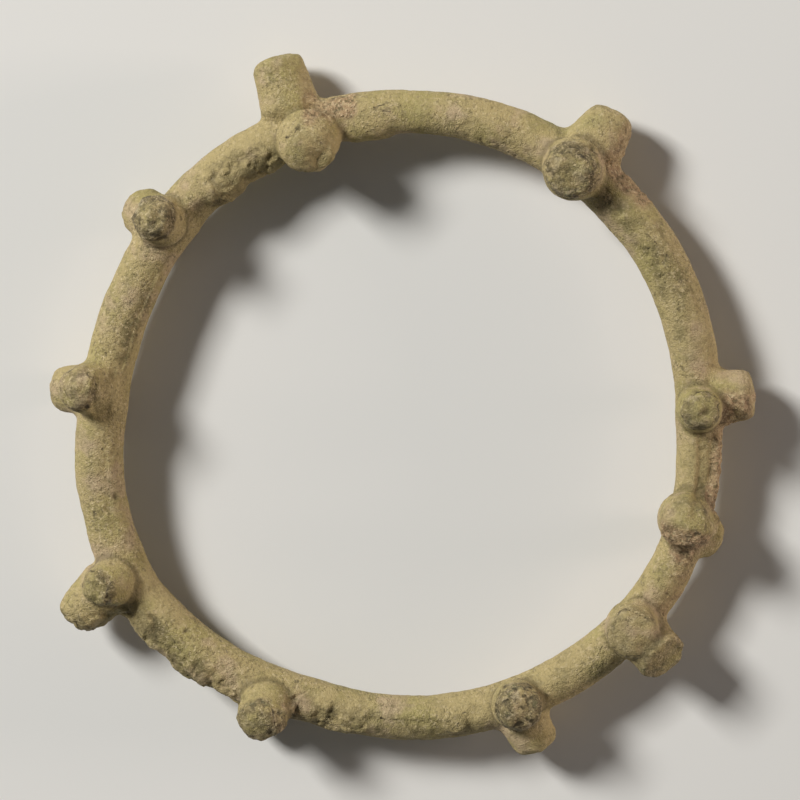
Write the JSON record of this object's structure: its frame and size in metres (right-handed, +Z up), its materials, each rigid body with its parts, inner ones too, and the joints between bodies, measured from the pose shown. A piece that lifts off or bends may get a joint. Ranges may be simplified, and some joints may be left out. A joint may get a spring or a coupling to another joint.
{
  "type": "bronze bracelet",
  "caption": "Closed hoop of round bar, slightly out of round, with pairs of short round knobs: one on the face, one pointing outward.",
  "frame": {"origin": "on the table under the hoop's centre, with the bracelet lying flat on its outer knobs", "axes": "+Z up along the hoop's axis, towards the front knobs; +X and +Y are the right and the top of the picture"},
  "size_m": [0.0896, 0.0881, 0.0131],
  "materials": {
    "hoop_patina": "matte, rough khaki patina",
    "cap_patina": "matte, rough grey-green patina"
  },
  "bodies": {
    "root": {"hoop": "hoop_patina", "front_knob_01": "cap_patina", "front_knob_02": "cap_patina", "front_knob_03": "cap_patina", "front_knob_04": "cap_patina", "front_knob_05": "cap_patina", "front_knob_06": "cap_patina", "front_knob_07": "cap_patina", "front_knob_08": "cap_patina", "front_knob_09": "cap_patina", "front_knob_10": "cap_patina", "outer_knob_01": "hoop_patina", "outer_knob_02": "hoop_patina", "outer_knob_03": "hoop_patina", "outer_knob_04": "hoop_patina", "outer_knob_05": "hoop_patina", "outer_knob_06": "hoop_patina", "outer_knob_07": "hoop_patina", "outer_knob_08": "hoop_patina", "outer_knob_09": "hoop_patina", "outer_knob_10": "hoop_patina"}
  },
  "joints": []
}
